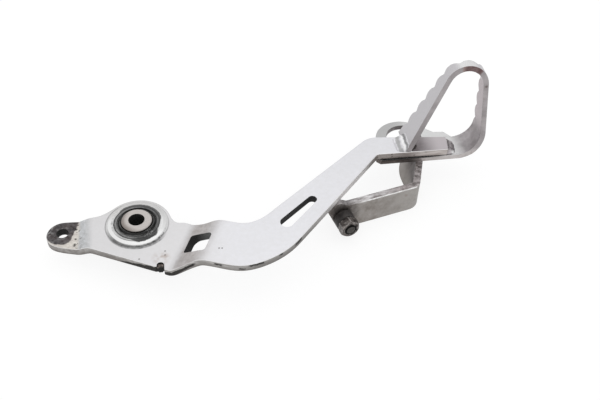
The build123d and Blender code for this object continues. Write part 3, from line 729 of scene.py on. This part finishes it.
def burr_highlight(net, edge):
    """Mask of the painted highlight on the burr along the bracket's sheared edge."""
    face_level = bracket_point.dot(bracket_outward)
    off_face = net.minus(net.vector("DOT_PRODUCT", net.place, tuple(bracket_outward)), face_level)
    run_edge = net.times(net.ramp(net.z, 16.25, 16.45), net.ramp(off_face, -0.4, -0.2))
    high_edge = net.times(edge, net.ramp(net.z, 15.8, 16.4), 0.5)
    burr = net.times(net.most(run_edge, high_edge), net.ramp(net.x, 117, 124))
    return net.times(burr, net.blend(net.patches(1.8, 4), 0.4, 1.0))


def bracket_material():
    """Dull warm steel strip with rough sheared edges, a painted highlight along its burr, painted shade on
    the leg's inner side and dirt round the stop.
    """
    net = Net("stop_bracket")
    rounded, edge = net.edges(0.35)
    cloud = net.patches(6, 5)
    mottle = net.patches(1.8, 4)
    colour = net.mix(cloud, tone(126, 120, 115), tone(172, 168, 165))
    colour = net.veil(mottle, 0.35, colour, tone(134, 127, 121))
    forward = net.times(net.ramp(net.x, 128, 156), 0.6)
    colour = net.mix(forward, colour, net.mix(mottle, grey(160, 3), grey(180, 3)))

    sheared = net.patches(1.7, 5, stretch=(3.5, 1, 1), turn=bracket_angle)
    top = net.ramp(net.nz, 0.7, 0.9)
    colour = net.mix(top, colour, bracket_top(net, sheared))

    # Painted shade on the inner side of the leg, darker towards its upper edge.
    inner = net.times(net.ramp(net.nx, -0.5, -0.75), net.ramp(net.x, 140, 150))
    colour = net.mix(inner, colour, net.mix(net.ramp(net.z, 3, 14), tone(144, 139, 135), tone(92, 86, 85)))

    # Dirt round the stop and on the tab.
    uneven = net.wobble(3.0, 1.6)
    dirt = net.times(net.near(uneven, stop_dirt_middle, 9.0, 3.5), net.blend(mottle, 0.6, 1.0))
    tab = net.ramp(net.x, 109, 104)
    colour = net.veil(dirt, 0.8, colour, tone(62, 56, 54))
    colour = net.veil(tab, 0.9, colour, net.mix(mottle, tone(112, 105, 102), tone(152, 145, 142)))
    rust = net.ramp(net.noise(6, 5), 0.63, 0.75)
    colour = net.veil(rust, 0.35, colour, tone(130, 112, 103))

    # Painted highlight along the burr.
    colour = net.mix(burr_highlight(net, edge), colour, grey(250))
    height = net.plus(net.times(mottle, 0.7), net.times(sheared, top, 1.5))
    roughness = net.blend(cloud, 0.46, 0.62)
    return net.finish(colour, roughness, 1.0, net.bump(height, 0.55, 0.1, rounded))


def fastener_material(name):
    """Dark steel with dirt on it, painted highlights on its corners and painted shade in the thread round the
    screw's end.
    """
    net = Net(name)
    rounded, edge = net.edges(0.8)
    cloud = net.patches(2.8, 5)
    grit = net.patches(0.9, 4)
    colour = net.mix(cloud, tone(42, 38, 37), tone(116, 110, 107))
    colour = net.veil(net.ramp(net.noise(1.5, 4), 0.54, 0.62), 0.6, colour, tone(164, 159, 156))
    # Painted highlights on the corners.
    colour = net.mix(net.times(edge, net.blend(grit, 0.5, 1.0)), colour, tone(204, 200, 198))
    screw_foot = bracket_point + bracket_along * screw_along
    screw_foot.z = screw_height
    from_foot = net.vector("SUBTRACT", net.place, tuple(screw_foot))
    along = net.vector("DOT_PRODUCT", from_foot, tuple(bracket_outward))
    on_axis = net.vector("SCALE", tuple(bracket_outward), scale=along)
    off_axis = net.vector("DISTANCE", from_foot, on_axis)
    # Painted shade in the thread round the screw's end.
    thread = net.times(net.band(off_axis, 2.3, 3.5, 0.15), net.ramp(along, 4, 5))
    colour = net.mix(thread, colour, grey(22))
    screw_end = net.times(net.ramp(off_axis, 2.4, 2.2), net.ramp(along, 10.6, 11.0))
    colour = net.mix(screw_end, colour, net.mix(grit, grey(60, 2), grey(86, 2)))
    roughness = net.blend(cloud, 0.28, 0.5)
    return net.finish(colour, roughness, 1.0, net.bump(net.plus(grit, cloud), 0.4, 0.08, rounded))


def weld_material():
    """Bright weld metal with straw coloured grains and streaks of painted light and shade, most of all at the
    toe loop's foot, and darker at its tip.
    """
    net = Net("weld")
    cloud = net.patches(3.2, 3)
    grain = net.noise(0.7, 4)
    tip = net.ramp(net.x, 168, 174)
    # Painted light and shade, streaked along the bead.
    ridge_shading = net.patches(1.5, 3, stretch=(1, 5, 2))
    colour = net.mix(ridge_shading, tone(166, 165, 169), tone(240, 239, 243))
    colour = net.veil(cloud, 0.4, colour, grey(206))

    # Painted light and shade in streaks along the bead at the toe loop's foot: a highlight between two shaded
    # bands.
    uneven_x, _, _ = net.split(net.wobble(2.4, 0.9))
    for start, end, level in ((148.2, 150.0, 172), (150.8, 152.0, 246), (152.3, 153.3, 132)):
        colour = net.veil(net.band(uneven_x, start, end, 0.35), 0.8, colour, grey(level))

    # Darker bead at the toe loop's tip, with painted shade along both sides and a painted glint.
    tip_colour = net.mix(net.patches(2.2, 4), tone(148, 143, 144), tone(202, 197, 199))
    border_shade = net.most(net.ramp(net.z, 21.1, 20.5), net.ramp(net.z, 22.9, 23.6))
    tip_colour = net.veil(border_shade, 0.7, tip_colour, tone(92, 86, 86))
    colour = net.mix(tip, colour, tip_colour)
    glint = net.near(net.wobble(1.5, 0.5), tip_glint_middle, 1.6, 0.6)
    colour = net.mix(net.times(glint, tip), colour, grey(236))
    colour = net.veil(net.ramp(grain, 0.6, 0.75), 0.25, colour, tone(140, 130, 122))
    roughness = net.blend(cloud, 0.45, 0.6)
    return net.finish(colour, roughness, 1.0, net.bump(grain, 0.2, 0.04))


def dirt_material():
    """Caked dirt, black with brown crumbs."""
    net = Net("caked_dirt")
    crumbs = net.noise(1.1, 5)
    colour = net.mix(net.ramp(crumbs, 0.35, 0.6), tone(44, 39, 37), tone(150, 138, 131))
    colour = net.mix(net.ramp(net.y, -29.4, -31.0), colour, grey(28))
    return net.finish(colour, net.blend(crumbs, 0.7, 0.9), 0.0, net.bump(crumbs, 0.8, 0.2))


def bronze_material():
    """Plain bearing bronze with fine turning marks."""
    net = Net("bronze")
    rounded, _ = net.edges(0.25)
    cloud = net.noise(4, 4)
    rings = net.noise(0.3, 2, stretch=(200, 200, 1))
    colour = net.mix(cloud, tone(168, 132, 80), tone(196, 160, 104))
    roughness = net.blend(cloud, 0.35, 0.5)
    return net.finish(colour, roughness, 1.0, net.bump(rings, 0.4, 0.05, rounded))


def add_object(name, data):
    """Puts a mesh, a lamp or a camera into the scene."""
    made = bpy.data.objects.new(name, data)
    bpy.context.scene.collection.objects.link(made)
    return made


def solid(name, points, faces):
    """Closed mesh object from points in millimetres, with smooth outward faces."""
    mesh = bpy.data.meshes.new(name)
    mesh.from_pydata([point / 1000 for point in points], [], faces)
    shell = bmesh.new()
    shell.from_mesh(mesh)
    bmesh.ops.recalc_face_normals(shell, faces=shell.faces)
    for face in shell.faces:
        face.smooth = True
    shell.to_mesh(mesh)
    shell.free()
    return add_object(name, mesh)


def taper(share, end_share):
    """Rounds off both ends of a bead, each over a share of its length."""
    blunt = 0.12
    inside = min(share, 1 - share) / end_share
    return 1.0 if inside >= 1 else blunt + (1 - blunt) * math.sqrt(1 - (1 - inside) ** 2)


def bead(
    name, corner, sides, legs, seed,
    ripples=4, ripple_depth=0.11, lumps=0.16, flatness=0.85, end_share=0.3,
):
    """Rippled weld bead along a joint, a closed ring where it has no ends to round off.

    Corner and sides give a point and two directions for a share 0 to 1 of its length.
    Flatness is below 1 for a full bead and 2 for a flat one.
    """
    closed = end_share == 0
    rings = 24 * ripples
    arc = 14
    sink = 0.2
    points = []
    for step in range(rings if closed else rings + 1):
        share = step / rings
        spot = corner(share)
        side_a, side_b = sides(share)
        end = 1.0 if closed else taper(share, end_share)
        points.append(spot - (side_a + side_b) * (sink * 2))
        for index in range(arc + 1):
            turn = index / arc * math.pi / 2
            crescent = share * ripples - 0.35 * math.sin(2 * turn)
            swell = 1 + ripple_depth * (abs(math.sin(math.pi * crescent)) ** 0.7 - 0.6)
            swell += lumps * noise.noise(spot * 0.12 + Vector((seed, 2.6 * turn, 0)))
            reach_a = legs[0] * swell * end * abs(math.cos(turn)) ** flatness
            reach_b = legs[1] * swell * end * math.sin(turn) ** flatness
            points.append(spot + side_a * (reach_a - sink) + side_b * (reach_b - sink))
    width = arc + 2
    count = len(points) // width
    faces = []
    for ring in range(count if closed else count - 1):
        here = ring * width
        following = (ring + 1) % count * width
        for index in range(width):
            beside = (index + 1) % width
            faces.append((here + index, here + beside, following + beside, following + index))
    if not closed:
        faces.append(tuple(range(width)))
        faces.append(tuple(range((count - 1) * width, count * width)))
    return solid(name, points, faces)


def straight(start, end):
    """Points of a straight joint."""
    return lambda share: start.lerp(end, share)


def always(side_a, side_b):
    """Sides that stay the same along a joint."""
    pair = (side_a.normalized(), side_b.normalized())
    return lambda share: pair


def weld_beads():
    """All weld beads, each with the CAD solid that it stands for."""
    lean = math.radians(foot_lean)
    foot = bead(
        "weld_toe_foot",
        straight(Vector((foot_heel_x, 31.3, arm_face_z)), Vector((foot_heel_x, 44.6, arm_face_z))),
        always(Vector((-1, 0, 0)), Vector((math.cos(lean), 0, math.sin(lean)))),
        legs=(5.4, 5.2), seed=1.0, ripple_depth=0.05, lumps=0.2, flatness=1.9, end_share=0.2,
    )
    tip = bead(
        "weld_toe_tip",
        straight(Vector((177.3, 31.0, arm_back_z)), Vector((178.8, 43.2, arm_back_z))),
        always(Vector((0.992, -0.126, 0)), Vector((0, 0, 1))),
        legs=(5.8, 4.0), seed=2.0, ripple_depth=0.04, lumps=0.25, flatness=1.6,
    )
    inward = -bracket_outward
    inner_face = bracket_point + inward * bracket_thickness + Vector((0, 0, arm_back_z))
    rear = bead(
        "weld_bracket_rear",
        straight(inner_face + bracket_along * -16.4, inner_face + bracket_along * -9.6),
        always(inward, Vector((0, 0, -1))),
        legs=(3.0, 3.0), seed=3.0,
    )
    leg_end = Vector((166.4, 39.0, toe_base_z))
    leg_way = Vector((0.3371, 0.9415, 0))
    front = bead(
        "weld_bracket_front",
        straight(leg_end - leg_way * 6.8, leg_end),
        always(Vector((0.9415, -0.3371, 0)), Vector((-0.35, 0.12, -0.93))),
        legs=(3.0, 3.2), seed=4.0,
    )

    def around(share):
        angle = share * 2 * math.pi
        return Vector((math.cos(angle), math.sin(angle), 0))

    boss = bead(
        "weld_boss",
        lambda share: around(share) * boss_radius + Vector((0, 0, plate_back_z)),
        lambda share: (around(share), Vector((0, 0, -1))),
        legs=(3.0, 3.0), seed=5.0, ripples=34, end_share=0,
    )
    return {
        foot: "toe_foot_weld",
        tip: "toe_tip_weld",
        rear: "bracket_rear_weld",
        front: "bracket_front_weld",
        boss: "boss_weld",
    }


def dirt_lump():
    """Caked dirt that fills the notch in the plate's lower edge."""
    middle = notch_middle + Vector((0, -0.1, 13.9))
    radii = (2.4, 2.0, 1.9)
    rings = 22
    around = 36
    points = [middle + Vector((0, 0, radii[2])), middle - Vector((0, 0, radii[2]))]
    for ring in range(1, rings):
        tilt = math.pi * ring / rings
        for step in range(around):
            angle = 2 * math.pi * step / around
            way = Vector((math.sin(tilt) * math.cos(angle), math.sin(tilt) * math.sin(angle), math.cos(tilt)))
            swell = 1 + 0.4 * noise.noise(way * 1.8) + 0.2 * noise.noise(way * 4.5)
            points.append(middle + Vector([part * size * swell for part, size in zip(way, radii)]))
    faces = []
    for step in range(around):
        beside = (step + 1) % around
        last = 2 + (rings - 2) * around
        faces.append((0, 2 + step, 2 + beside))
        faces.append((1, last + beside, last + step))
        for ring in range(rings - 2):
            here = 2 + ring * around
            following = here + around
            faces.append((here + step, following + step, following + beside, here + beside))
    return solid("notch_dirt", points, faces)


def light_share(tree):
    """1 for rays from the camera, from glossy surfaces and through clear ones, else 0."""
    path = tree.nodes.new("ShaderNodeLightPath")
    total = path.outputs["Is Camera Ray"]
    for kind in ("Is Glossy Ray", "Is Transmission Ray"):
        added = tree.nodes.new("ShaderNodeMath")
        added.operation = "ADD"
        added.use_clamp = True
        tree.links.new(total, added.inputs[0])
        tree.links.new(path.outputs[kind], added.inputs[1])
        total = added.outputs[0]
    return total


def set_world():
    """Even white surroundings."""
    world = bpy.data.worlds.new("surroundings")
    bpy.context.scene.world = world
    world.use_nodes = True
    tree = world.node_tree
    background = tree.nodes["Background"]
    background.inputs["Color"].default_value = (1, 1, 1, 1)
    level = tree.nodes.new("ShaderNodeMapRange")
    level.inputs["To Min"].default_value = surround_level
    level.inputs["To Max"].default_value = 1.0
    tree.links.new(light_share(tree), level.inputs["Value"])
    tree.links.new(level.outputs["Result"], background.inputs["Strength"])


def set_floor():
    """Plain pale floor that keeps a faint shadow."""
    size = floor_half
    mesh = bpy.data.meshes.new("floor")
    corners = [(-size, -size, 0), (size, -size, 0), (size, size, 0), (-size, size, 0)]
    mesh.from_pydata(corners, [], [(0, 1, 2, 3)])
    floor = add_object("floor", mesh)
    material = bpy.data.materials.new("floor")
    material.use_nodes = True
    tree = material.node_tree
    tree.nodes.remove(tree.nodes["Principled BSDF"])
    matt = tree.nodes.new("ShaderNodeBsdfDiffuse")
    matt.inputs["Color"].default_value = (floor_grey, floor_grey, floor_grey, 1)
    glow = tree.nodes.new("ShaderNodeEmission")
    level = tree.nodes.new("ShaderNodeMapRange")
    level.inputs["To Max"].default_value = floor_glow
    both = tree.nodes.new("ShaderNodeAddShader")
    tree.links.new(light_share(tree), level.inputs["Value"])
    tree.links.new(level.outputs["Result"], glow.inputs["Strength"])
    tree.links.new(matt.outputs[0], both.inputs[0])
    tree.links.new(glow.outputs[0], both.inputs[1])
    tree.links.new(both.outputs[0], tree.nodes["Material Output"].inputs["Surface"])
    mesh.materials.append(material)


def set_lamp():
    """One large soft lamp overhead."""
    lamp = bpy.data.lights.new("soft_lamp", "AREA")
    lamp.shape = "DISK"
    lamp.size = lamp_size
    lamp.energy = lamp_power
    holder = add_object("soft_lamp", lamp)
    holder.location = lamp_place
    holder.rotation_euler = (lamp_aim - lamp_place).to_track_quat("-Z", "Y").to_euler()


def set_camera():
    """Camera at the photograph's viewing angle."""
    azimuth = math.radians(camera_azimuth)
    elevation = math.radians(camera_elevation)
    roll = math.radians(camera_roll)
    forward = Vector((
        math.sin(azimuth) * math.cos(elevation), math.cos(azimuth) * math.cos(elevation), -math.sin(elevation)
    ))
    level_right = Vector((math.cos(azimuth), -math.sin(azimuth), 0))
    level_up = level_right.cross(forward)
    right = level_right * math.cos(roll) + level_up * math.sin(roll)
    up = level_up * math.cos(roll) - level_right * math.sin(roll)
    lens = bpy.data.cameras.new("camera")
    lens.lens = camera_lens
    lens.sensor_width = 36.0
    lens.clip_start = 0.01
    camera = add_object("camera", lens)
    place = Matrix((right, up, -forward)).transposed().to_4x4()
    place.translation = camera_place
    camera.matrix_world = place
    bpy.context.scene.camera = camera


bpy.context.scene.view_settings.view_transform = "Standard"
set_world()
set_floor()
set_lamp()
set_camera()

bronze = bronze_material()
seal_rubber = seal_material()
coats = {
    "lever_plate": lever_material(),
    "toe_loop": toe_material(),
    "pivot_boss": boss_material(),
    "pivot_sleeve": sleeve_material(),
    "inner_bush": bronze,
    "outer_bush": bronze,
    "inner_seal": seal_rubber,
    "outer_seal": seal_rubber,
    "stop_bracket": bracket_material(),
    "stop_buffer": buffer_material(),
    "stop_screw": fastener_material("stop_screw"),
    "lock_nut": fastener_material("lock_nut"),
}
for node, material in coats.items():
    nodes[node].data.materials.clear()
    nodes[node].data.materials.append(material)

weld_metal = weld_material()
for piece, cad_weld in weld_beads().items():
    piece.data.materials.append(weld_metal)
    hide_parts(cad_weld)
    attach(piece, "pedal")

dirt = dirt_lump()
dirt.data.materials.append(dirt_material())
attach(dirt, "pedal")
